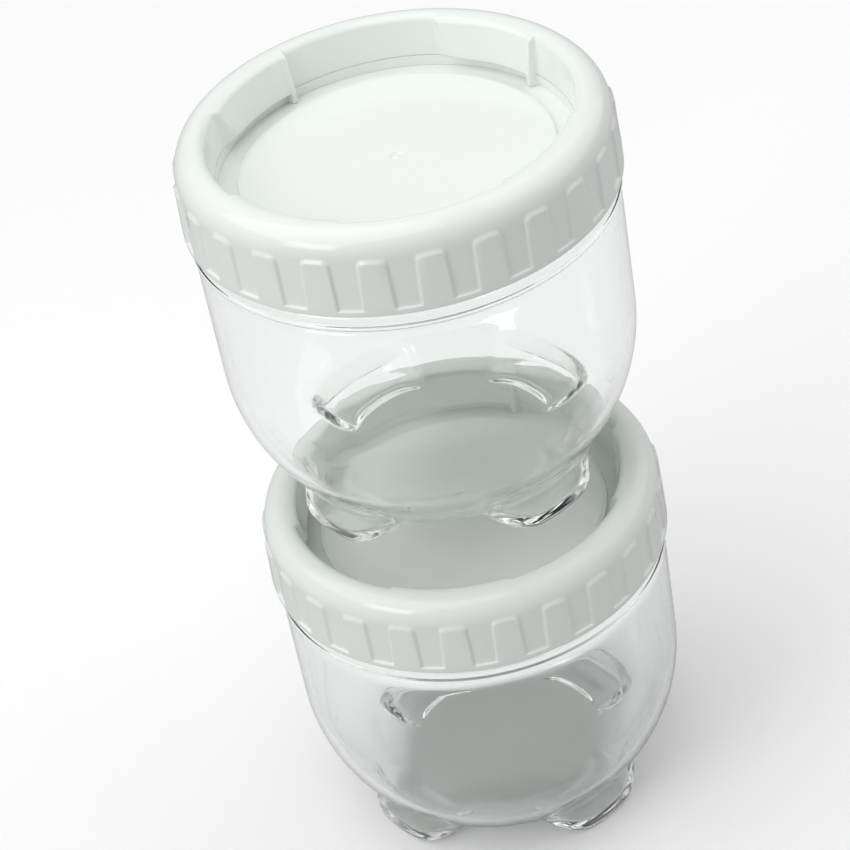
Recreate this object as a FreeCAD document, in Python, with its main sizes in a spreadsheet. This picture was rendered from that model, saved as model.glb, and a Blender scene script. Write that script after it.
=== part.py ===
import FreeCAD, Part
import os
import re
import Sketcher
from FreeCAD import Placement, Rotation, Vector

# A pair of twist-lock storage jars. Each clear jar has a round bowl bottom with four hollow
# feet, a threaded neck with a flat seal, and a screw lid whose top is a round socket with four
# lugs. The feet of the next jar drop between the lugs and turn under them.
# Every sub-part is drawn in the frame of its own jar: Z up, origin on the jar's axis at the
# bottom of the feet. The lower jar stands at the origin, the upper one above it.

os.makedirs("parts", exist_ok=True)
doc = FreeCAD.newDocument("TwistLockJars")
sheet = doc.addObject("Spreadsheet::Sheet", "Sizes")

# The driving sizes, in mm and degrees. Each becomes a cell of the sheet.
sizes = {
    # The jar
    "jarRadius": 46.2,  # outside of the jar's wall
    "jarWall": 1.8,  # wall of jar and feet
    "bowlAxis": 3.7,  # centre of the bowl's profile, out from the axis
    "bowlHeight": 37.2,  # height where the straight wall starts
    "baseHeight": 1.0,  # flat base above the bottom of the feet
    "baseThick": 2.4,  # thickness of the flat base
    "shoulderHeight": 72.4,  # top of the shoulder under the lid
    "shoulderRound": 2.4,  # rounding of the shoulder
    "beadProud": 0.5,  # bead under the lid, beyond the wall
    "beadWidth": 1.2,  # height of that bead
    "shoulderStep": 3.0,  # neck in from the jar's wall
    "neckWall": 1.9,  # wall of the neck
    # The lid
    "lidGap": 0.6,  # lid's lower edge above the shoulder
    "lidHeight": 18.2,  # lower edge to crown
    "crownThick": 2.6,  # crown over the seal
    "crownRound": 5.6,  # outer rounding of the crown
    "crownShare": 0.58,  # share of that rounding taken by the slope inside it
    "lipRound": 1.9,  # rounding round the socket's mouth
    "skirtWall": 1.8,  # wall of the skirt at its lower edge
    "skirtDraft": 0.4,  # how much the skirt leans in
    "bandProud": 0.6,  # band beyond the skirt
    "bandWidth": 1.4,  # height of the band
    "padCount": 25,  # grip pads
    "padSpan": 7.7,  # angle of one pad
    "padHeight": 12.8,  # lower edge to the top of a pad
    "padProud": 0.55,  # pad beyond the skirt
    "padPhase": 7.2,  # angle from a lug to the nearest pad
    # The thread
    "threadPitch": 4.4,  # rise in one turn
    "threadTurns": 1.25,  # turns of each ridge
    "threadDepth": 1.2,  # depth of each ridge
    "threadWidth": 1.7,  # width of a ridge at its root
    "threadRoom": 0.6,  # radial room at the tip of a ridge
    "threadStart": 2.6,  # lid's lower edge to its ridge
    # The socket
    "socketGap": 1.0,  # socket's wall to the inside of the neck
    "socketWall": 1.6,  # wall round the socket
    "lugReach": 1.75,  # how far a lug stands in from the wall
    "lugSpan": 39,  # angle of one lug
    "lugHeight": 9.4,  # crown to the underside of a lug
    "lugRound": 2.6,  # rounding of a lug's upper edge
    "seatDepth": 10.9,  # crown to the floor
    "channelWidth": 4.63,  # channel round the raised middle of the floor
    "discRound": 0.5,  # rounding of its edge
    "channelStep": 1.2,  # floor down to that channel
    "floorThick": 1.5,  # floor plate in the middle
    "flangeThick": 1.2,  # floor plate at the rim
    "gateRadius": 1.5,  # mark in the middle of the floor
    "gateDepth": 0.3,  # its depth
    # The feet
    "footRoom": 0.45,  # foot to the lugs
    "footDepth": 11.5,  # inner to outer side of a foot
    "footSpan": 46,  # angle of a foot
    "footTop": 14,  # height at which the foot is inside the bowl
    "footRound": 2.8,  # rounding of the foot's lower edge
    "tabRoom": 0.9,  # locking tab to the socket's wall
    "tabLift": 0.3,  # locking tab to the lug above it
    "stopSpan": 2,  # angle of the stop that closes the far end of a lug
    "stopRoom": 0.5,  # angle from a locking tab to the stop
    # The seal
    "sealThick": 1.2,  # thickness of the seal
    "sealInset": 0.3,  # seal in from the neck's outside
    "sealRoom": 0.1,  # seal to the crown
    # How the pair is put together
    "jarTurn": 35.5,  # angle of the feet about the axis
    "upperLidTurn": 4.8,  # angle of the upper lid's gaps
    "hoverGap": 18.3,  # feet above the floor they drop onto
    "gapToLug": 45,  # angle from a gap of a socket to its next lug
}

# The sizes that follow from them.
fits = {
    "lidBottom": "shoulderHeight + lidGap",  # lower edge of the lid
    "crownTop": "lidBottom + lidHeight",  # top of the lid
    "ceiling": "crownTop - crownThick",  # underside of the crown
    "neckTop": "ceiling - sealRoom - sealThick",  # top of the neck
    "neckRadius": "jarRadius - shoulderStep",  # outside of the neck
    "neckInner": "neckRadius - neckWall",  # inside of the neck
    "jarInner": "jarRadius - jarWall",  # inside of the jar's wall
    "bowlRadius": "jarRadius - bowlAxis",  # radius of the bowl's profile
    "bowlInner": "bowlRadius - jarWall",  # inner radius of the bowl's profile
    "baseTop": "baseHeight + baseThick",  # top of the base
    "skirtInner": "neckRadius + threadDepth + threadRoom",  # inside of the skirt
    "skirtOuter": "skirtInner + skirtWall",  # skirt at its lower edge
    "skirtTop": "skirtOuter - skirtDraft",  # skirt under the crown
    "bandRadius": "skirtOuter + bandProud",  # largest radius of the lid
    "crownCentre": "crownTop - crownRound",  # height of the rounding's centre
    "socketOuter": "neckInner - socketGap",  # outside of the socket's wall
    "socketRadius": "socketOuter - socketWall",  # inside of it between the lugs
    "lugRadius": "socketRadius - lugReach",  # inner face of the lugs
    "lugBottom": "crownTop - lugHeight",  # underside of the lugs
    "floorTop": "crownTop - seatDepth",  # floor that the feet stand on
    "channelTop": "floorTop - channelStep",  # channel round the floor
    "discRadius": "socketRadius - channelWidth",  # raised middle of the floor
    "footRadius": "lugRadius - footRoom",  # outside of the feet
    "footInner": "footRadius - footDepth",  # inner side of the feet
    "tabRadius": "socketRadius - tabRoom",  # outside of the locking tabs
    "tabThick": "seatDepth - lugHeight - tabLift",  # thickness of the locking tabs
    "stackHeight": "floorTop + hoverGap",  # upper jar's origin above the lower one's
    "bowlReach": "bowlAxis + sqrt(bowlRadius ^ 2 - (bowlHeight - baseHeight) ^ 2)",  # edge of the base
    "hollowReach": "bowlAxis + sqrt(bowlInner ^ 2 - (bowlHeight - baseTop) ^ 2)",  # edge of its top
    "tabSpan": "lugSpan - 2 * stopSpan - 2 * stopRoom",  # angle of a locking tab
    "stopTurn": "90 - (lugSpan - stopSpan) / 2",  # angle from one lug to the next one's stop
    "wellSpan": "footSpan - 2 * jarWall / footRadius * 180 / pi",  # angle of the hollow in a foot
    "crownInnerEdge": "skirtTop - crownRound * crownShare",  # ceiling's outer edge
    "crownInnerSide": "skirtTop - skirtWall",  # inside of the skirt under the crown
    "lowerLidTurn": "jarTurn + gapToLug",  # a lug of the lower lid
    "upperLugTurn": "upperLidTurn + gapToLug",  # a lug of the upper lid
}

known = {alias: "Sizes." + alias for alias in [*sizes, *fits]}
cells = {**sizes, **{alias: "=" + formula for alias, formula in fits.items()}}
for row, (alias, content) in enumerate(cells.items(), 1):
    sheet.set("A%d" % row, alias)
    sheet.set("B%d" % row, str(content))
    sheet.setAlias("B%d" % row, alias)
doc.recompute()


def bind(thing, path, formula):
    # Binds one property to a formula over the sheet's aliases.
    words = re.sub(r"[A-Za-z]\w*", lambda word: known.get(word.group(0), word.group(0)), formula)
    thing.setExpression(path, words)


def value(formula):
    # The present value of such a formula, for the first guess of a sketch.
    probe = doc.addObject("App::FeaturePython", "Probe")
    probe.addProperty("App::PropertyFloat", "Result")
    bind(probe, "Result", formula)
    doc.recompute([probe])
    result = probe.Result
    doc.removeObject("Probe")
    return result


def plane(body, role):
    return [entry for entry in body.Origin.OriginFeatures if entry.Role == role][0]


def newSketch(body, name, role="XZ_Plane"):
    sketch = body.newObject("Sketcher::SketchObject", name)
    sketch.AttachmentSupport = [(plane(body, role), "")]
    sketch.MapMode = "FlatFace"
    return sketch


def pin(sketch, edge, end, formulas):
    # Fixes a point of an edge at the given radius and height; None leaves that one free.
    for kind, formula, axis in (("DistanceX", formulas[0], -2), ("DistanceY", formulas[1], -1)):
        if formula is None:
            continue
        if formula == "0":
            sketch.addConstraint(Sketcher.Constraint("PointOnObject", edge, end, axis))
            continue
        index = sketch.addConstraint(Sketcher.Constraint(kind, -1, 1, edge, end, value(formula)))
        bind(sketch, "Constraints[%d]" % index, formula)


def profile(sketch, corners, arcs=()):
    # A closed outline through corners given as (radius, height) formulas. arcs tells which
    # sides are arcs, as side number: (centre radius, centre height, turn, side). turn is +1
    # for an arc that runs anticlockwise. Where the arc itself decides one coordinate of its
    # end, that formula is None, and side tells on which side of the centre it lies.
    arcs = dict(arcs)
    spots = []
    for number, (across, up) in enumerate(corners):
        spot = [None if text is None else value(text) for text in (across, up)]
        if None in spot:
            centre = arcs[number - 1]
            mid = [value(centre[0]), value(centre[1])]
            first = spots[number - 1]
            reach = ((first[0] - mid[0]) ** 2 + (first[1] - mid[1]) ** 2) ** 0.5
            free = spot.index(None)
            drop = spot[1 - free] - mid[1 - free]
            spot[free] = mid[free] + centre[3] * max(reach ** 2 - drop ** 2, 0) ** 0.5
        spots.append(spot)
    for number in range(len(spots)):
        begin = Vector(spots[number][0], spots[number][1], 0)
        other = spots[(number + 1) % len(spots)]
        finish = Vector(other[0], other[1], 0)
        if number not in arcs:
            sketch.addGeometry(Part.LineSegment(begin, finish), False)
            continue
        centre = arcs[number]
        middle = Vector(value(centre[0]), value(centre[1]), 0)
        anticlockwise = centre[2] > 0
        first, last = (begin, finish) if anticlockwise else (finish, begin)
        startAngle = Vector(1, 0, 0).getAngle(first - middle)
        startAngle = startAngle if first.y >= middle.y else -startAngle
        endAngle = Vector(1, 0, 0).getAngle(last - middle)
        endAngle = endAngle if last.y >= middle.y else -endAngle
        circle = Part.Circle(middle, Vector(0, 0, 1), (first - middle).Length)
        sketch.addGeometry(Part.ArcOfCircle(circle, startAngle, endAngle), False)
    for number in range(len(spots)):
        following = (number + 1) % len(spots)
        leave = 1 if number in arcs and arcs[number][2] < 0 else 2
        enter = 2 if following in arcs and arcs[following][2] < 0 else 1
        sketch.addConstraint(Sketcher.Constraint("Coincident", number, leave, following, enter))
    for number, formulas in enumerate(corners):
        enter = 2 if number in arcs and arcs[number][2] < 0 else 1
        pin(sketch, number, enter, formulas)
    for number, centre in arcs.items():
        pin(sketch, number, 3, (centre[0], centre[1]))


def revolve(body, name, kind, sketch, angle=None):
    # Turns a profile about the body's axis, all round or over a sector of the given angle.
    feature = body.newObject("PartDesign::" + kind, name)
    feature.Profile = sketch
    feature.ReferenceAxis = (sketch, ["V_Axis"])
    feature.Midplane = angle is not None
    feature.Angle = 360
    if angle is not None:
        bind(feature, "Angle", angle)
    sketch.Visibility = False
    return feature


def around(body, name, feature, count):
    # Repeats a feature evenly about the body's axis.
    pattern = body.newObject("PartDesign::PolarPattern", name)
    pattern.Originals = [feature]
    pattern.Axis = (plane(body, "Z_Axis"), [""])
    pattern.Angle = 360
    pattern.Occurrences = 4
    if count != "4":
        bind(pattern, "Occurrences", count)
    body.Tip = pattern
    return pattern


def helix(body, name, sketch):
    # A thread ridge: the sketch carried up a helix about the body's axis.
    ridge = body.newObject("PartDesign::AdditiveHelix", name)
    ridge.Profile = sketch
    ridge.ReferenceAxis = (sketch, ["V_Axis"])
    ridge.Mode = 1
    bind(ridge, "Pitch", "threadPitch")
    bind(ridge, "Turns", "threadTurns")
    sketch.Visibility = False
    return ridge


def place(body, level, turn):
    # Puts a sub-part at its jar's level, turned about the axis.
    if level != "0":
        bind(body, "Placement.Base.z", level)
    body.Placement = Placement(Vector(0, 0, 0), Rotation(Vector(0, 0, 1), value(turn)))
    bind(body, "Placement.Rotation.Angle", turn)


def newBody(label):
    body = doc.addObject("PartDesign::Body", label)
    body.Label = label
    return body


def makeJar(label, level):
    body = newBody(label)
    outside = newSketch(body, label + "_outside")
    profile(outside, [
        ("0", "baseHeight"),
        ("bowlReach", "baseHeight"),
        (None, "bowlHeight"),
        ("jarRadius", "shoulderHeight - shoulderRound"),
        ("jarRadius - shoulderRound", None),
        ("neckRadius", "shoulderHeight"),
        ("neckRadius", "neckTop"),
        ("0", "neckTop"),
    ], {
        1: ("bowlAxis", "bowlHeight", 1, 1),
        3: ("jarRadius - shoulderRound", "shoulderHeight - shoulderRound", 1, 1),
    })
    revolve(body, label + "_blank", "Revolution", outside)

    bead = newSketch(body, label + "_bead")
    profile(bead, [
        ("jarRadius - jarWall / 2", "shoulderHeight - shoulderRound - beadWidth"),
        ("jarRadius", "shoulderHeight - shoulderRound - beadWidth"),
        ("jarRadius + beadProud", "shoulderHeight - shoulderRound - beadWidth * 0.7"),
        ("jarRadius + beadProud", "shoulderHeight - shoulderRound - beadWidth * 0.3"),
        ("jarRadius", "shoulderHeight - shoulderRound"),
        ("jarRadius - jarWall / 2", "shoulderHeight - shoulderRound"),
    ])
    revolve(body, label + "_beading", "Revolution", bead)

    toe = newSketch(body, label + "_toe")
    profile(toe, [
        ("footInner", "0"),
        ("footRadius - footRound", "0"),
        (None, "footRound"),
        ("footRadius", "footTop"),
        ("footInner", "footTop"),
    ], {1: ("footRadius - footRound", "footRound", 1, 1)})
    foot = revolve(body, label + "_foot", "Revolution", toe, "footSpan")
    around(body, label + "_feet", foot, "4")

    tab = newSketch(body, label + "_tab")
    profile(tab, [
        ("footRadius - footRound * 1.2", "0"),
        ("tabRadius - tabThick / 3", "0"),
        ("tabRadius", "tabThick / 3"),
        ("tabRadius", "tabThick * 2 / 3"),
        ("tabRadius - tabThick / 3", "tabThick"),
        ("footRadius - footRound * 1.2", "tabThick"),
    ])
    lip = revolve(body, label + "_lip", "Revolution", tab, "tabSpan")
    around(body, label + "_tabs", lip, "4")

    inside = newSketch(body, label + "_inside")
    profile(inside, [
        ("0", "baseTop"),
        ("hollowReach", "baseTop"),
        (None, "bowlHeight"),
        ("jarInner", "shoulderHeight - shoulderRound - jarWall"),
        ("neckInner", "shoulderHeight - jarWall"),
        ("neckInner", "neckTop + 1"),
        ("0", "neckTop + 1"),
    ], {1: ("bowlAxis", "bowlHeight", 1, 1)})
    revolve(body, label + "_hollow", "Groove", inside)

    well = newSketch(body, label + "_well")
    profile(well, [
        ("footInner + jarWall", "jarWall"),
        ("footRadius - footRound", "jarWall"),
        (None, "footRound"),
        ("footRadius - jarWall", "footTop"),
        ("footInner + jarWall", "footTop"),
    ], {1: ("footRadius - footRound", "footRound", 1, 1)})
    hole = revolve(body, label + "_foot_well", "Groove", well, "wellSpan")
    around(body, label + "_wells", hole, "4")

    # The ridge winds up the neck, half a pitch above the lid's.
    thread = newSketch(body, label + "_thread")
    start = "lidBottom + threadStart + threadPitch / 2"
    profile(thread, [
        ("neckRadius - neckWall / 3", start),
        ("neckRadius", start),
        ("neckRadius + threadDepth", start + " + threadWidth / 4"),
        ("neckRadius + threadDepth", start + " + threadWidth * 3 / 4"),
        ("neckRadius", start + " + threadWidth"),
        ("neckRadius - neckWall / 3", start + " + threadWidth"),
    ])
    helix(body, label + "_ridge", thread)
    place(body, level, "jarTurn")
    return body


def makeSeal(label, level):
    body = newBody(label)
    outline = newSketch(body, label + "_outline")
    profile(outline, [
        ("neckInner", "neckTop"),
        ("neckRadius - sealInset", "neckTop"),
        ("neckRadius - sealInset", "neckTop + sealThick"),
        ("neckInner", "neckTop + sealThick"),
    ])
    revolve(body, label + "_ring", "Revolution", outline)
    place(body, level, "jarTurn")
    return body


def makeFloor(label, level, turn):
    body = newBody(label)
    outline = newSketch(body, label + "_outline")
    profile(outline, [
        ("0", "floorTop - floorThick"),
        ("discRadius - floorThick", "floorTop - floorThick"),
        ("discRadius - floorThick", "channelTop - flangeThick"),
        ("socketOuter", "channelTop - flangeThick"),
        ("socketOuter", "channelTop"),
        ("discRadius", "channelTop"),
        ("discRadius", "floorTop - discRound"),
        ("discRadius - discRound", None),
        ("gateRadius", "floorTop"),
        ("gateRadius - gateDepth", "floorTop - gateDepth"),
        ("0", "floorTop - gateDepth"),
    ], {6: ("discRadius - discRound", "floorTop - discRound", 1, 1)})
    revolve(body, label + "_plate", "Revolution", outline)
    place(body, level, turn)
    return body


def makeLid(label, level, turn):
    body = newBody(label)
    outline = newSketch(body, label + "_outline")
    profile(outline, [
        ("skirtInner", "lidBottom"),
        ("bandRadius", "lidBottom"),
        ("bandRadius", "lidBottom + bandWidth"),
        ("skirtOuter", "lidBottom + bandWidth"),
        ("skirtTop", "crownCentre"),
        ("skirtTop - crownRound", None),
        ("socketRadius + lipRound", "crownTop"),
        (None, "crownTop - lipRound"),
        ("socketRadius", "channelTop"),
        ("socketOuter", "channelTop"),
        ("socketOuter", "ceiling"),
        ("crownInnerEdge", "ceiling"),
        ("crownInnerSide", "crownCentre"),
    ], {
        4: ("skirtTop - crownRound", "crownCentre", 1, 1),
        6: ("socketRadius + lipRound", "crownTop - lipRound", 1, -1),
    })
    revolve(body, label + "_shell", "Revolution", outline)

    block = newSketch(body, label + "_block")
    profile(block, [
        ("socketRadius + socketWall / 2", "lugBottom"),
        ("socketRadius + socketWall / 2", "crownTop - lipRound * 1.6"),
        ("socketRadius + lipRound", "crownTop - lipRound * 0.8"),
        ("socketRadius + lipRound", "crownTop"),
        ("lugRadius + lugRound", "crownTop"),
        (None, "crownTop - lugRound"),
        ("lugRadius", "lugBottom"),
    ], {4: ("lugRadius + lugRound", "crownTop - lugRound", 1, -1)})
    lug = revolve(body, label + "_lug", "Revolution", block, "lugSpan")
    around(body, label + "_lugs", lug, "4")

    rib = newSketch(body, label + "_rib")
    profile(rib, [
        ("lugRadius", "channelTop"),
        ("socketRadius + socketWall / 2", "channelTop"),
        ("socketRadius + socketWall / 2", "lugBottom + socketWall"),
        ("lugRadius", "lugBottom + socketWall"),
    ])
    rib.AttachmentOffset = Placement(Vector(0, 0, 0), Rotation(Vector(0, 1, 0), value("stopTurn")))
    bind(rib, "AttachmentOffset.Rotation.Angle", "stopTurn")
    stop = revolve(body, label + "_stop", "Revolution", rib, "stopSpan")
    around(body, label + "_stops", stop, "4")

    grip = newSketch(body, label + "_grip")
    profile(grip, [
        ("skirtTop - skirtWall / 2", "lidBottom + bandWidth / 2"),
        ("skirtOuter + padProud", "lidBottom + bandWidth / 2"),
        ("skirtTop + padProud", "lidBottom + padHeight - padProud * 2"),
        ("skirtTop - padProud", "lidBottom + padHeight + padProud"),
        ("skirtTop - skirtWall / 2", "lidBottom + padHeight - padProud"),
    ])
    grip.AttachmentOffset = Placement(Vector(0, 0, 0), Rotation(Vector(0, 1, 0), value("padPhase")))
    bind(grip, "AttachmentOffset.Rotation.Angle", "padPhase")
    pad = revolve(body, label + "_pad", "Revolution", grip, "padSpan")
    around(body, label + "_pads", pad, "padCount")

    thread = newSketch(body, label + "_thread")
    start = "lidBottom + threadStart"
    tip = "skirtInner - threadDepth"
    profile(thread, [
        (tip, start + " + threadWidth / 4"),
        ("skirtInner", start),
        ("skirtInner + skirtWall / 3", start),
        ("skirtInner + skirtWall / 3", start + " + threadWidth"),
        ("skirtInner", start + " + threadWidth"),
        (tip, start + " + threadWidth * 3 / 4"),
    ])
    helix(body, label + "_ridge", thread)
    place(body, level, turn)
    return body


bodies = [
    makeJar("lower_jar", "0"),
    makeSeal("lower_seal", "0"),
    makeFloor("lower_lid_floor", "0", "lowerLidTurn"),
    makeLid("lower_lid", "0", "lowerLidTurn"),
    makeJar("upper_jar", "stackHeight"),
    makeSeal("upper_seal", "stackHeight"),
    makeFloor("upper_lid_floor", "stackHeight", "upperLugTurn"),
    makeLid("upper_lid", "stackHeight", "upperLugTurn"),
]
doc.recompute()

for thing in doc.Objects:
    if "Invalid" in thing.State or "Error" in thing.State:
        raise RuntimeError("%s is %s" % (thing.Name, thing.State))
for body in bodies:
    if not body.Shape.isValid() or len(body.Shape.Solids) != 1:
        raise RuntimeError("%s isn't one valid solid" % body.Label)
    body.Shape.exportStep("parts/%s.step" % body.Label)
    print(body.Label, round(body.Shape.Volume), body.Shape.BoundBox)
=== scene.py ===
import math

import bpy
import numpy as np
from mathutils import Matrix, Vector


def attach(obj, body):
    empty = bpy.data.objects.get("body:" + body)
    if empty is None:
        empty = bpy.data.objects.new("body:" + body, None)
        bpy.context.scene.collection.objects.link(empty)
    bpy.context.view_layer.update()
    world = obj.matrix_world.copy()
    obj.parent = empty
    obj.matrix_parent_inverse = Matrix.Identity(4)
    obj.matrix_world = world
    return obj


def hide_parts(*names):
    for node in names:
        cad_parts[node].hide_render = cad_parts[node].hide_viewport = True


# Two clear twist-lock jars with white screw lids, one just lifted off the other.
# All shapes are worked out in millimetres in the frame of one jar: Z up, the axis at x = y = 0,
# the underside of its feet at z = 0. Each is then turned, raised and written in metres.

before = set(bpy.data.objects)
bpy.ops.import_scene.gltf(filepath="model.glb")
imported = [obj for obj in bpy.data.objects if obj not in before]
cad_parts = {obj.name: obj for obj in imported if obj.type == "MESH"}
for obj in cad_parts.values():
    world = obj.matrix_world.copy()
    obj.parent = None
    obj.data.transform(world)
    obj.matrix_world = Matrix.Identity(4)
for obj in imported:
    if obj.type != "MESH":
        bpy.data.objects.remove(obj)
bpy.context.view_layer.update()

stack = {
    "hover": 98.6,  # the upper jar's feet above the lower jar's, as lifted
    "jarTurn": 35.5,  # angle of a foot, degrees
    "lowerLugTurn": 80.5,  # angle of a lug of the lower lid
    "upperLugTurn": 49.8,  # angle of a lug of the upper lid
    "pitch": 4.4,  # the thread's rise in a turn
    "turns": 1.25,  # turns of each thread
}


# Profiles and grids

def straight(start, end, count):
    # Evenly spaced points from start up to, not including, end.
    share = np.linspace(0, 1, count, endpoint=False)[:, None]
    return np.asarray(start, float) * (1 - share) + np.asarray(end, float) * share


def arc(centre, radius, fromAngle, toAngle, count):
    # Points on a circle about centre, angles in degrees, the last point left out.
    angle = np.radians(np.linspace(fromAngle, toAngle, count, endpoint=False))
    return np.asarray(centre, float) + radius * np.stack([np.cos(angle), np.sin(angle)], 1)


def oval(centre, radii, fromAngle, toAngle, count):
    # Points on an ellipse about centre with the two radii, the last point left out.
    return np.asarray(centre, float) + arc((0, 0), 1, fromAngle, toAngle, count) * np.asarray(radii, float)


def bend(start, corner, end, count):
    # A quadratic curve that leaves start towards corner and arrives at end, end left out:
    # (1 - t)^2 start + 2 t (1 - t) corner + t^2 end.
    t = np.linspace(0, 1, count, endpoint=False)[:, None]
    start, corner, end = (np.asarray(point, float) for point in (start, corner, end))
    return (1 - t) ** 2 * start + 2 * t * (1 - t) * corner + t ** 2 * end


def rounded(corners, radii, runs, steps=5):
    # A polyline with its corners rounded. Each corner is cut back by its radius along both
    # sides and bridged by a quadratic curve of so many steps; runs tells how many points lie
    # on the straight after it. The first and last corners stay sharp.
    corners = np.asarray(corners, float)
    forward = np.diff(corners, axis=0)
    length = np.hypot(forward[:, 0], forward[:, 1])[:, None]
    forward = forward / np.maximum(length, 1e-9)
    pieces = []
    leave = corners[0]
    for number in range(1, len(corners)):
        cut = radii[number] if number < len(corners) - 1 else 0
        arrive = corners[number] - forward[number - 1] * cut
        pieces.append(straight(leave, arrive, runs[number - 1]))
        if number == len(corners) - 1:
            pieces.append(corners[-1:])
            break
        leave = corners[number] + forward[number] * cut
        pieces.append(bend(arrive, corners[number], leave, steps))
    return np.concatenate(pieces)


def resample(points, count):
    # The same curve with count points evenly spaced along its length.
    step = np.hypot(*np.diff(points, axis=0).T)
    along = np.concatenate([[0], np.cumsum(step)])
    where = np.linspace(0, along[-1], count)
    return np.stack([np.interp(where, along, points[:, 0]), np.interp(where, along, points[:, 1])], 1)


def smooth(low, high, value):
    # Smoothstep: 3 t^2 - 2 t^3 of value's place between low and high.
    t = np.clip((value - low) / (high - low), 0, 1)
    return t * t * (3 - 2 * t)


def lobe(flat, end, value):
    # 1 up to flat, then round a soft shoulder down to 0 at end: (1 - t^2)^1.3.
    t = np.clip((value - flat) / (end - flat), 0, 1)
    return (1 - t * t) ** 1.3


def offsetFrom(angle, pitch, phase=0.0):
    # Signed angle to the nearest of the directions phase, phase + pitch, ... in degrees.
    return (angle - phase + pitch / 2) % pitch - pitch / 2


def columns(step, clusters=()):
    # Angles round the axis: one every so many degrees, and finer ones at each cluster
    # (pitch, phase, half width, count).
    angles = [np.arange(0, 360, step)]
    for pitch, phase, half, count in clusters:
        middles = np.arange(phase, phase + 360 - 1e-6, pitch)
        spread = np.linspace(-half, half, count)
        angles.append(((middles[:, None] + spread[None, :]) % 360).ravel())
    angles = np.sort(np.concatenate(angles))
    keep = np.concatenate([[True], np.diff(angles) > 0.06])
    return angles[keep]


def surface(name, radius, height, angle, closed, turn=0.0, lift=0.0):
    # A skin through the grid point (row, column) = (radius cos angle, radius sin angle, height).
    # Columns run round the axis and close on themselves. A closed grid also joins its last row
    # to its first; an open one starts and ends on the axis, where a row becomes one point.
    rows, around = radius.shape
    turned = np.radians(angle + turn)
    grid = np.stack([radius * np.cos(turned), radius * np.sin(turned), height + lift], -1) / 1000
    index = np.arange(rows * around).reshape(rows, around)
    if not closed:
        index = index - (around - 1)
        index[0] = 0
        index[-1] = (rows - 2) * around + 1
        points = np.concatenate([grid[0, :1], grid[1:-1].reshape(-1, 3), grid[-1, :1]])
    else:
        points = grid.reshape(-1, 3)
        index = np.concatenate([index, index[:1]])
    right = np.roll(index, -1, axis=1)
    quads = np.stack([index[:-1], right[:-1], right[1:], index[1:]], -1)
    if closed:
        faces = quads.reshape(-1, 4).tolist()
    else:
        first = quads[0][:, [0, 2, 3]]
        last = quads[-1][:, [0, 1, 2]]
        faces = first.tolist() + quads[1:-1].reshape(-1, 4).tolist() + last.tolist()
    mesh = bpy.data.meshes.new(name)
    mesh.from_pydata(points.tolist(), [], faces)
    # the outline's signed area tells which way its rows run
    spread, rise = radius[:, 0], height[:, 0]
    area = np.sum(spread * np.roll(rise, -1) - np.roll(spread, -1) * rise)
    if area < 0:
        mesh.flip_normals()
    mesh.polygons.foreach_set("use_smooth", np.ones(len(mesh.polygons), bool))
    mesh.update()
    thing = bpy.data.objects.new(name, mesh)
    bpy.context.scene.collection.objects.link(thing)
    print(name, len(faces), "faces")
    return thing


def ridge(height, angle, base, width, depth, pitch, turns):
    # A helical ridge: at each angle its middle is at base + width / 2 + pitch * angle / 360,
    # one turn after another, and it swells and dies away over a twelfth of a turn at its ends.
    swell = np.zeros(np.broadcast(height, angle).shape)
    for lap in range(math.ceil(turns)):
        turn = angle / 360 + lap
        middle = base + width / 2 + pitch * turn
        ends = smooth(0, 1 / 12, turn) * (1 - smooth(turns - 1 / 12, turns, turn))
        shape = 1 - smooth(width * 0.2, width * 0.55, np.abs(height - middle))
        swell = np.maximum(swell, shape * ends)
    return depth * swell


# The jar

jar = {
    "radius": 46.2, "wall": 1.8, "bowlRadius": 42.5, "bowlHeight": 37.2,
    "base": 1.0, "baseThick": 2.4, "baseFillet": 4.0,
    "shoulder": 72.4, "shoulderRound": 2.4, "beadProud": 0.5, "beadWidth": 1.2,
    "neck": 43.2, "neckWall": 1.9, "neckTop": 87.3,
    "foot": 36.2, "rim": 37.4, "rimRound": 2.0, "ankle": 2.2,  # outside of a foot, its locking rim
    "footFlat": 9.0, "footEnd": 28.5,  # half angles over which a foot is full and gone
    "dropFrom": 23.6, "dropTo": 27.2, "wellFrom": 24.4, "wellTo": 29.0,  # from the base into a foot
    "blend": 12.5, "riseOut": 4.2, "riseIn": 3.4,  # where a foot melts into the bowl
    "threadDepth": 1.2, "threadWidth": 1.7, "threadStart": 77.8,
    "columns": 1.44,
}


def bowlCurve(radius, floor, top, count):
    # The bowl's profile from the axis up to a height: a flat floor, a fillet, and an arc of
    # the given radius about a centre level with the start of the straight wall.
    middle = (jar["radius"] - jar["bowlRadius"], jar["bowlHeight"])
    fillet = jar["baseFillet"]
    angle = -math.degrees(math.asin((middle[1] - floor) / radius))
    upTo = -math.degrees(math.asin((middle[1] - top) / radius))
    raw = arc(middle, radius, angle, upTo, 400)
    raw = np.concatenate([raw, [[middle[0] + radius * math.cos(math.radians(upTo)), top]]])
    start = (raw[0, 0] - fillet, floor)
    rest = raw[np.hypot(*(raw - raw[0]).T) > fillet]
    return resample(np.concatenate([bend(start, raw[0], rest[0], 12), rest]), count), start


def footSide(bowl, foot, rise):
    # The top of a foot's side: from rise it bends on into the bowl's own slope.
    join = bowl[-1]
    lead = join - bowl[-2]
    aim = join - lead * ((join[0] - foot) / max(lead[0], 1e-6))
    return bend(rise, aim, join, 10)


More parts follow.
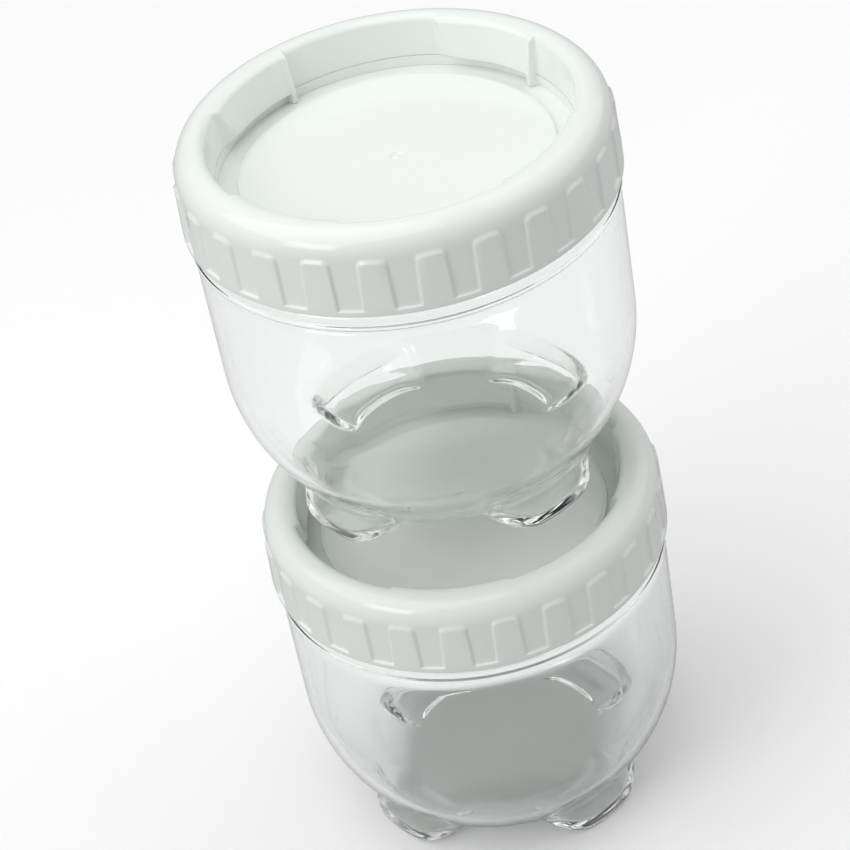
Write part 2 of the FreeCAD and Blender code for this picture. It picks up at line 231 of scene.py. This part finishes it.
def jarOutside():
    # Two matched outlines of the jar's outside: between the feet, and through a foot, which
    # widens to its locking rim at the bottom.
    base, foot, rim, curve = jar["base"], jar["foot"], jar["rim"], jar["rimRound"]
    bowl, start = bowlCurve(jar["bowlRadius"], base, jar["blend"], 47)
    plain = np.concatenate([straight((0, base), start, 10), bowl[:-1]])
    rise = (foot, jar["blend"] - jar["riseOut"])
    edge, low = jar["dropFrom"], jar["dropTo"]
    halfWay = (edge + low) / 2
    toe = np.concatenate([
        straight((0, base), (edge, base), 10),
        bend((edge, base), (edge + 1.2, base), (halfWay, base / 2), 3),
        bend((halfWay, base / 2), (low - 1.2, 0), (low, 0), 3),
        straight((low, 0), (rim - curve, 0), 8),
        arc((rim - curve, curve), curve, -90, 0, 14),
        bend((rim, curve), (foot, curve + jar["ankle"]), rise, 8),
        footSide(bowl, foot, rise),
    ])
    return plain, toe, bowl[-1]


def jarInside():
    # Two matched outlines of the inside, from the axis up: between the feet and in a foot.
    wall, floor = jar["wall"], jar["base"] + jar["baseThick"]
    foot, rim, curve = jar["foot"] - wall, jar["rim"] - wall, jar["rimRound"] - wall / 2
    bowl, start = bowlCurve(jar["bowlRadius"] - wall, floor, jar["blend"] + 1.5, 41)
    plain = np.concatenate([straight((0, floor), start, 10), bowl[:-1]])
    rise = (foot, jar["blend"] - jar["riseIn"])
    edge, low = jar["wellFrom"], jar["wellTo"]
    brink = (edge + 2.6, floor - 0.8)
    well = np.concatenate([
        straight((0, floor), (edge, floor), 10),
        bend((edge, floor), (edge + 2.0, floor), brink, 4),
        bend(brink, (low - 1.4, wall), (low, wall), 4),
        straight((low, wall), (rim - curve, wall), 6),
        arc((rim - curve, wall + curve), curve, -90, 0, 8),
        bend((rim, wall + curve), (foot, wall + curve + jar["ankle"]), rise, 8),
        footSide(bowl, foot, rise),
    ])
    return plain, well, bowl[-1]


def makeJar(name, body, lift):
    # The clear shell: outlines between the feet and through a foot are blended by a foot's
    # weight round the axis, then closed over the neck to the inside.
    angle = columns(jar["columns"])
    away = np.abs(offsetFrom(angle, 90))
    middle = (jar["radius"] - jar["bowlRadius"], jar["bowlHeight"])
    plain, toe, join = jarOutside()
    inPlain, well, inJoin = jarInside()
    shrink = math.degrees(jar["wall"] / jar["foot"])
    footWeight = lobe(jar["footFlat"], jar["footEnd"], away)
    wellWeight = lobe(jar["footFlat"] - shrink, jar["footEnd"] - shrink, away)

    start = -math.degrees(math.asin((middle[1] - join[1]) / jar["bowlRadius"]))
    inStart = -math.degrees(math.asin((middle[1] - inJoin[1]) / (jar["bowlRadius"] - jar["wall"])))
    side, shoulder, neck, top = jar["radius"], jar["shoulder"], jar["neck"], jar["neckTop"]
    sideIn, neckIn = side - jar["wall"], neck - jar["neckWall"]
    beadTop = shoulder - jar["shoulderRound"]
    beadLow = beadTop - jar["beadWidth"]
    proud, soft = side + jar["beadProud"], 0.25  # the bead and the slope of its edges
    upper = np.concatenate([
        arc(middle, jar["bowlRadius"], start, 0, 40),
        straight((side, middle[1]), (side, beadLow - 0.5), 24),
        rounded([(side, beadLow - 0.5), (side, beadLow), (proud, beadLow + soft), (proud, beadTop - soft),
                 (side, beadTop), (side, shoulder), (neck, shoulder), (neck, shoulder + 3)],
                [0, 0.3, 0.3, 0.3, 0.2, 2.0, 0.8, 0], [1, 1, 1, 1, 1, 1, 4], 5)[:-1],
        straight((neck, shoulder + 3), (neck, top - 0.6), 56),
        rounded([(neck, top - 0.6), (neck, top), (neckIn, top), (neckIn, top - 3)],
                [0, 0.4, 0.4, 0], [1, 2, 3], 4)[:-1],
        straight((neckIn, top - 3), (neckIn, shoulder + 1), 6),
        rounded([(neckIn, shoulder + 1), (neckIn, shoulder - jar["wall"]),
                 (sideIn, beadLow - jar["wall"]), (sideIn, beadLow - 8)],
                [0, 1.6, 2.0, 0], [2, 3, 3], 6)[:-1],
        straight((sideIn, beadLow - 8), (sideIn, middle[1]), 16),
        arc(middle, jar["bowlRadius"] - jar["wall"], 0, inStart, 40),
    ])
    outer = plain[:, None] + footWeight[None, :, None] * (toe - plain)[:, None]
    hollow = inPlain[:, None] + wellWeight[None, :, None] * (well - inPlain)[:, None]
    shell = np.concatenate([outer, np.repeat(upper[:, None], len(angle), 1), hollow[::-1]])
    radius, height = shell[..., 0].copy(), shell[..., 1]
    onNeck = (np.abs(radius - neck) < 0.01) & (height > shoulder + 2)
    thread = ridge(height, angle[None, :], jar["threadStart"], jar["threadWidth"], jar["threadDepth"],
                   stack["pitch"], stack["turns"])
    radius = radius + np.where(onNeck, thread, 0)
    piece = surface(name, radius, height, angle, False, stack["jarTurn"], lift)
    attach(piece, body)
    return piece


# The lid

lid = {
    "bottom": 73.0, "crown": 91.2, "ceiling": 88.6,
    "skirtInner": 45.0, "skirt": 46.8, "skirtTop": 46.4, "skirtBend": 83.0,
    "band": 47.4, "bandWidth": 1.4, "bandFoot": 0.8,  # the band and the fillet above it
    "crownTop": 41.2, "crownCentre": 85.6, "mouthDrop": 1.5,  # radius of the top, ends of its rolls
    "socket": 38.7, "socketOuter": 40.3, "socketMouth": 39.2, "channel": 79.1,
    "ceilingEdge": 43.2, "ceilingSide": 44.6,  # where the ceiling bends down to the skirt
    "innerHigh": 84.0, "innerLow": 75.0,  # straight part of the skirt's inside
    "lug": 36.95, "lugMouth": 38.1, "lugBottom": 81.8, "lugHalf": 19.5,  # half angle of a lug
    "stopSpan": 2.0, "stopProud": 0.3, "leadIn": 9.0,  # the stop at one end, the soft other end
    "padCount": 25, "padPhase": 7.2, "padTop": 85.8, "padProud": 0.6, "padRound": 1.1,
    "padHalfLow": 3.35, "padHalfHigh": 2.9,  # half widths in mm
    "threadDepth": 1.2, "threadWidth": 1.7, "threadStart": 75.6,
}


def lidOutline(mouth, reach, under):
    # The ring's closed outline for a socket wall that leans from radius mouth at the top to
    # radius reach at the underside of the lugs, and stands at the socket's own radius below.
    low, top, peak = lid["bottom"], lid["crown"], lid["crownTop"]
    centre, rollDown = lid["crownCentre"], top - lid["mouthDrop"]
    band, bandTop = lid["band"], low + lid["bandWidth"]
    skirt, inner = lid["skirt"], lid["skirtInner"]
    foot = (skirt - 0.02, bandTop + lid["bandFoot"])
    bendPoint = (lid["skirtTop"] + 0.06, lid["skirtBend"])
    socket, wall, channel, ceiling = lid["socket"], lid["socketOuter"], lid["channel"], lid["ceiling"]
    innerHigh, innerLow = (inner - 0.03, lid["innerHigh"]), (inner, lid["innerLow"])
    lip = under + 0.3
    return np.concatenate([
        rounded([(inner + 0.5, low), (band, low), (band, bandTop), (skirt, bandTop), foot],
                [0, 0.3, 0.3, 0.3, 0], [3, 2, 1, 1], 5)[:-1],
        straight(foot, bendPoint, 14),
        straight(bendPoint, (lid["skirtTop"], centre), 9),
        oval((peak, centre), (lid["skirtTop"] - peak, top - centre), 0, 90, 21),
        oval((peak, rollDown), (peak - mouth, lid["mouthDrop"]), 90, 180, 16),
        straight((mouth, rollDown), (reach, lip), 10),
        rounded([(reach, lip), (reach, under), (socket, under - 0.001), (socket, under - 0.5)],
                [0, 0.15, 0.0, 0], [1, 2, 1], 3)[:-1],
        rounded([(socket, under - 0.5), (socket, channel), (wall, channel), (wall, ceiling),
                 (lid["ceilingEdge"], ceiling), (lid["ceilingSide"], centre), innerHigh],
                [0, 0.1, 0.3, 0.5, 0.8, 0.8, 0], [3, 2, 6, 2, 2, 2], 4)[:-1],
        straight(innerHigh, innerLow, 32),
        rounded([innerLow, (inner, low), (inner + 0.5, low)], [0, 0.3, 0], [2, 1], 4)[:-1],
    ])


def makeLid(name, body, lift, turn):
    # The ring: its outline in a gap and at a lug blended round the axis, plus the grip pads,
    # each a rounded trapezium raised from the skirt, and the thread's ridge inside.
    pitch = 360 / lid["padCount"]
    half = math.degrees(lid["padHalfLow"] / lid["skirt"])
    edge, stopSpan = lid["lugHalf"], lid["stopSpan"]
    angle = columns(2.0, [(pitch, lid["padPhase"] - half, 0.85, 6), (pitch, lid["padPhase"] + half, 0.85, 6),
                          (90, -edge, 0.75, 7), (90, stopSpan - edge, 0.6, 5), (90, edge - 4, 4.6, 12)])
    gap = lidOutline(lid["socketMouth"], lid["socket"], lid["lugBottom"])
    block = lidOutline(lid["lugMouth"], lid["lug"], lid["lugBottom"])
    # the stop's outline: a lug's, carried straight down to the channel
    stop = block.copy()
    below = np.flatnonzero((block[:, 1] < lid["lugBottom"] + 0.31) & (block[:, 1] > lid["channel"] - 0.01)
                           & (block[:, 0] < lid["socket"] + 0.01))
    stop[below, 0] = lid["lug"]
    stop[below, 1] = np.linspace(lid["lugBottom"] + 0.3, lid["channel"], len(below))
    place = offsetFrom(angle, 90)[None, :, None]
    depth = np.clip((lid["crown"] - block[:, 1]) / (lid["crown"] - lid["lugBottom"]), 0, 1)[:, None, None]
    begun = smooth(-edge - 0.5, -edge + 0.4, place)
    atLug = begun * (1 - smooth(edge - 0.8 - lid["leadIn"] * depth, edge + 0.4, place))
    atStop = begun * (1 - smooth(stopSpan - edge - 0.35, stopSpan - edge + 0.45, place))
    loop = gap[:, None] + atLug * (block - gap)[:, None] + atStop * (stop - block)[:, None]
    radius, height = loop[..., 0].copy(), loop[..., 1].copy()
    inSocket = (loop[..., 0] < lid["socket"] + 0.3) & (height > lid["channel"] + 0.3)
    radius = radius - np.where(inSocket, lid["stopProud"] * (atStop * smooth(0, 0.25, depth))[..., 0], 0)

    along = np.abs(np.radians(offsetFrom(angle, pitch, lid["padPhase"]))) * lid["skirt"]
    low = lid["bottom"] + lid["bandWidth"]
    share = np.clip((height - low) / (lid["padTop"] - low), 0, 1)
    wide = lid["padHalfLow"] + (lid["padHalfHigh"] - lid["padHalfLow"]) * share
    across = along[None, :] - wide + lid["padRound"]
    above = height - lid["padTop"] + lid["padRound"]
    inside = np.minimum(np.maximum(across, above), 0)
    distance = np.hypot(np.maximum(across, 0), np.maximum(above, 0)) + inside - lid["padRound"]
    outerSide = np.zeros(radius.shape, bool)
    outerSide[: len(gap) // 2] = True
    onSkirt = outerSide & (radius > lid["skirtTop"] - 2.5) & (height > lid["bottom"] + 0.6)
    skirtHere = np.minimum(lid["skirt"] + (lid["skirtTop"] - lid["skirt"]) * share, radius)
    skirtHere = np.where(height < low + lid["bandFoot"], lid["skirt"], np.where(onSkirt, radius, skirtHere))
    face = skirtHere + lid["padProud"]
    mask = 1 - smooth(-0.28, 0.28, distance)
    radius = radius + np.where(onSkirt, mask * np.maximum(face - radius, 0), 0)
    innerSkirt = (~outerSide) & (radius > lid["skirtInner"] - 0.05) & (height > lid["bottom"] + 1.5)
    thread = ridge(height, angle[None, :], lid["threadStart"], lid["threadWidth"], lid["threadDepth"],
                   stack["pitch"], stack["turns"])
    radius = radius - np.where(innerSkirt, thread, 0)
    piece = surface(name, radius, height, angle, True, turn, lift)
    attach(piece, body)
    return piece


# The floor plate and the seal

plate = {
    "top": 80.3, "under": 78.8, "edge": 34.07, "slope": 1.2, "slopeDrop": 0.25,
    "channel": 79.1, "flangeUnder": 77.9, "flangeIn": 1.5, "rim": 40.3,
    "pip": 0.45, "pipDrop": 0.1, "gate": 1.5, "gateDepth": 0.35,  # the mark in the middle
}


def makeFloor(name, body, lift, turn):
    # A round plate, raised in the middle, with the small ring that a moulding gate leaves.
    top, under, edge, rim, gate = plate["top"], plate["under"], plate["edge"], plate["rim"], plate["gate"]
    groove, pipTop, step = top - plate["gateDepth"], top - plate["pipDrop"], edge - plate["flangeIn"]
    channel, flange = plate["channel"], plate["flangeUnder"]
    outline = np.concatenate([
        straight((0, pipTop), (plate["pip"], pipTop), 2),
        rounded([(plate["pip"], pipTop), (0.7, groove), (gate - 0.2, groove), (gate, top), (edge - 1.6, top),
                 (edge - plate["slope"], top), (edge, top - plate["slopeDrop"]), (edge, channel),
                 (rim, channel), (rim, flange), (step, flange), (step, under), (0, under)],
                [0, 0.08, 0.08, 0.1, 0.2, 0.2, 0.3, 0.3, 0.2, 0.2, 0.2, 0.3, 0],
                [1, 2, 1, 14, 1, 3, 2, 4, 2, 4, 2, 10], 5),
    ])
    angle = columns(2.0)
    grid = np.repeat(outline[:, None], len(angle), 1)
    piece = surface(name, grid[..., 0], grid[..., 1], angle, False, turn, lift)
    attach(piece, body)
    return piece


seal = {"thick": 1.2, "inset": 0.3}


def makeSeal(name, body, lift):
    # A flat soft ring with rounded edges.
    low, high = jar["neckTop"], jar["neckTop"] + seal["thick"]
    inner, outer = jar["neck"] - jar["neckWall"], jar["neck"] - seal["inset"]
    outline = rounded([(inner + 0.6, low), (outer, low), (outer, high), (inner, high), (inner, low),
                       (inner + 0.6, low)],
                      [0, 0.25, 0.35, 0.35, 0.25, 0], [2, 2, 2, 2, 2], 5)[:-1]
    angle = columns(2.0)
    grid = np.repeat(outline[:, None], len(angle), 1)
    piece = surface(name, grid[..., 0], grid[..., 1], angle, True, 0, lift)
    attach(piece, body)
    return piece


# Finishes

def newMaterial(name, colour, roughness, **sockets):
    # A Principled finish of one colour; further sockets are given by their names.
    material = bpy.data.materials.new(name)
    material.use_nodes = True
    shader = material.node_tree.nodes["Principled BSDF"]
    shader.inputs["Base Color"].default_value = (*colour, 1)
    shader.inputs["Roughness"].default_value = roughness
    for socket, value in sockets.items():
        shader.inputs[socket].default_value = value
    return material, material.node_tree, shader


def grain(tree, shader, scale, strength, distance):
    # A fine uneven surface, from noise on the object's own coordinates.
    place = tree.nodes.new("ShaderNodeTexCoord")
    noise = tree.nodes.new("ShaderNodeTexNoise")
    noise.inputs["Scale"].default_value = scale
    noise.inputs["Detail"].default_value = 3
    bump = tree.nodes.new("ShaderNodeBump")
    bump.inputs["Strength"].default_value = strength
    bump.inputs["Distance"].default_value = distance
    tree.links.new(place.outputs["Object"], noise.inputs["Vector"])
    tree.links.new(noise.outputs["Fac"], bump.inputs["Height"])
    tree.links.new(bump.outputs["Normal"], shader.inputs["Normal"])
    return place


def vary(tree, shader, place, socket, low, high, scale):
    # Lets a socket drift between two values in soft patches.
    noise = tree.nodes.new("ShaderNodeTexNoise")
    noise.inputs["Scale"].default_value = scale
    spread = tree.nodes.new("ShaderNodeMapRange")
    spread.inputs["From Min"].default_value = 0.3
    spread.inputs["From Max"].default_value = 0.7
    spread.inputs["To Min"].default_value = low
    spread.inputs["To Max"].default_value = high
    tree.links.new(place.outputs["Object"], noise.inputs["Vector"])
    tree.links.new(noise.outputs["Fac"], spread.inputs["Value"])
    tree.links.new(spread.outputs["Result"], shader.inputs[socket])


whitePlastic, tree, shader = newMaterial("whiteMouldedPlastic", (0.875, 0.91, 0.88), 0.12, **{"IOR": 1.49})
place = grain(tree, shader, scale=900, strength=0.05, distance=0.0002)
vary(tree, shader, place, "Roughness", low=0.09, high=0.15, scale=60)

clearPlastic, tree, shader = newMaterial("clearPlastic", (0.95, 0.965, 0.955), 0.02,
                                         **{"IOR": 1.5, "Transmission Weight": 1.0})
grain(tree, shader, scale=40, strength=0.03, distance=0.0005)

softSeal, tree, shader = newMaterial("softSeal", (0.86, 0.87, 0.86), 0.45,
                                     **{"IOR": 1.41, "Transmission Weight": 0.35})
grain(tree, shader, scale=1200, strength=0.1, distance=0.0002)
print("finishes made")


# The object

def dress(piece, node, material):
    # Gives a piece its finish and puts it in the place of its CAD node.
    piece.data.materials.append(material)
    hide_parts(node)


units = (
    ("lower", 0.0, "lower_lid_carrier", "lower_jar", stack["lowerLugTurn"]),
    ("upper", stack["hover"], "upper_lid_carrier", "upper_carrier", stack["upperLugTurn"]),
)
for unit, lift, carrier, sealBody, lugTurn in units:
    clearJar = makeJar(unit + "ClearJar", unit + "_jar", lift)
    dress(clearJar, unit + "_jar", clearPlastic)
    sealRing = makeSeal(unit + "SealRing", sealBody, lift)
    dress(sealRing, unit + "_seal", softSeal)
    lidPlate = makeFloor(unit + "LidPlate", carrier, lift, lugTurn)
    dress(lidPlate, unit + "_lid_floor", whitePlastic)
    lidRing = makeLid(unit + "LidRing", unit + "_lid", lift, lugTurn)
    dress(lidRing, unit + "_lid", whitePlastic)
print("jars and lids built")


# Floor, light and camera

studio = {
    "floorSeen": 1.0, "floorBounce": 0.5, "floorReach": 6.0, "fadeFrom": 0.3, "fadeTo": 0.9,
    "key": {"place": (-1.0, -0.25, 2.2), "size": (3.0, 3.0), "power": 38.6},
    "front": {"place": (-0.466, -0.378, 0.445), "size": (0.28, 0.2), "power": 0.58},
    "side": {"place": (0.95, 0.3, 1.0), "size": (1.6, 1.6), "power": 5.7},
    "sky": 0.42,
}


def whenSeen(tree, otherwise, seen):
    # One value where the camera sees the surface, straight or through a clear wall, and
    # another for the light that the surface sends out.
    path = tree.nodes.new("ShaderNodeLightPath")
    either = tree.nodes.new("ShaderNodeMath")
    either.operation = "MAXIMUM"
    tree.links.new(path.outputs["Is Camera Ray"], either.inputs[0])
    tree.links.new(path.outputs["Is Transmission Ray"], either.inputs[1])
    spread = tree.nodes.new("ShaderNodeMapRange")
    spread.inputs["To Min"].default_value = otherwise
    spread.inputs["To Max"].default_value = seen
    tree.links.new(either.outputs["Value"], spread.inputs["Value"])
    return spread.outputs["Result"]


def fadeOut(tree, shader):
    # Where it is seen, the sheet melts into the white round it: by the smoothstep of the
    # distance from the middle between fadeFrom and fadeTo.
    place = tree.nodes.new("ShaderNodeTexCoord")
    away = tree.nodes.new("ShaderNodeVectorMath")
    away.operation = "LENGTH"
    fade = tree.nodes.new("ShaderNodeMapRange")
    fade.interpolation_type = "SMOOTHSTEP"
    fade.inputs["From Min"].default_value = studio["fadeFrom"]
    fade.inputs["From Max"].default_value = studio["fadeTo"]
    share = tree.nodes.new("ShaderNodeMath")
    share.operation = "MULTIPLY"
    clear = tree.nodes.new("ShaderNodeBsdfTransparent")
    mix = tree.nodes.new("ShaderNodeMixShader")
    tree.links.new(place.outputs["Object"], away.inputs[0])
    tree.links.new(away.outputs["Value"], fade.inputs["Value"])
    tree.links.new(fade.outputs["Result"], share.inputs[0])
    tree.links.new(whenSeen(tree, 0.0, 1.0), share.inputs[1])
    tree.links.new(share.outputs["Value"], mix.inputs["Fac"])
    tree.links.new(shader.outputs["BSDF"], mix.inputs[1])
    tree.links.new(clear.outputs["BSDF"], mix.inputs[2])
    tree.links.new(mix.outputs["Shader"], tree.nodes["Material Output"].inputs["Surface"])


def makeFloorSheet():
    # A wide flat sheet under the object, two by two corners.
    reach = studio["floorReach"]
    corners = [(-reach, -reach, 0), (reach, -reach, 0), (reach, reach, 0), (-reach, reach, 0)]
    mesh = bpy.data.meshes.new("ground")
    mesh.from_pydata(corners, [], [(0, 1, 2, 3)])
    ground = bpy.data.objects.new("ground", mesh)
    ground.location.z = -0.0002
    bpy.context.scene.collection.objects.link(ground)
    material, tree, shader = newMaterial("paleGround", (1, 1, 1), 0.6)
    shader.inputs["Specular IOR Level"].default_value = 0.1
    tree.links.new(whenSeen(tree, studio["floorBounce"], studio["floorSeen"]), shader.inputs["Base Color"])
    fadeOut(tree, shader)
    ground.data.materials.append(material)


def addLamp(name, place, size, power):
    # A rectangular lamp, aimed at the middle of the pair.
    lamp = bpy.data.lights.new(name, "AREA")
    lamp.shape = "RECTANGLE"
    lamp.size, lamp.size_y = size
    lamp.energy = power
    thing = bpy.data.objects.new(name, lamp)
    thing.location = place
    aim = Vector((0, 0, 0.11)) - Vector(place)
    thing.rotation_euler = aim.to_track_quat("-Z", "Y").to_euler()
    bpy.context.scene.collection.objects.link(thing)


def makeWorld():
    # Even grey light all round, white where it is seen.
    world = bpy.data.worlds.new("studioWorld")
    world.use_nodes = True
    tree = world.node_tree
    sky = tree.nodes["Background"]
    sky.inputs["Color"].default_value = (1, 1, 1, 1)
    tree.links.new(whenSeen(tree, studio["sky"], 1.0), sky.inputs["Strength"])
    bpy.context.scene.world = world


view = {
    "pixels": 850, "focal": 2462.3,  # focal length in pixels of the frame
    "elevation": 37.82, "roll": -11.10, "distance": 0.56293,
    "target": (-0.00496, 0.0, 0.1069),
}


def makeCamera():
    # Looks along +Y and down by the elevation from the given distance, then leans by the roll.
    elevation, roll = math.radians(view["elevation"]), math.radians(view["roll"])
    forward = Vector((0, math.cos(elevation), -math.sin(elevation)))
    right = Vector((1, 0, 0))
    up = right.cross(forward)
    leanRight = right * math.cos(roll) + up * math.sin(roll)
    leanUp = up * math.cos(roll) - right * math.sin(roll)
    turn = Matrix((leanRight, leanUp, -forward)).transposed().to_4x4()
    camera = bpy.data.cameras.new("camera")
    camera.sensor_width = 36
    camera.lens = 36 * view["focal"] / view["pixels"]
    camera.clip_start = 0.01
    thing = bpy.data.objects.new("camera", camera)
    thing.matrix_world = Matrix.Translation(Vector(view["target"]) - forward * view["distance"]) @ turn
    bpy.context.scene.collection.objects.link(thing)
    bpy.context.scene.camera = thing


makeFloorSheet()
for name in ("key", "front", "side"):
    addLamp(name, studio[name]["place"], studio[name]["size"], studio[name]["power"])
makeWorld()
makeCamera()
bpy.context.scene.view_settings.view_transform = "Standard"
lightPaths = bpy.context.scene.cycles
lightPaths.max_bounces = 24
lightPaths.glossy_bounces = 24  # light turns many times inside the clear rims
lightPaths.transmission_bounces = 24
print("studio set")
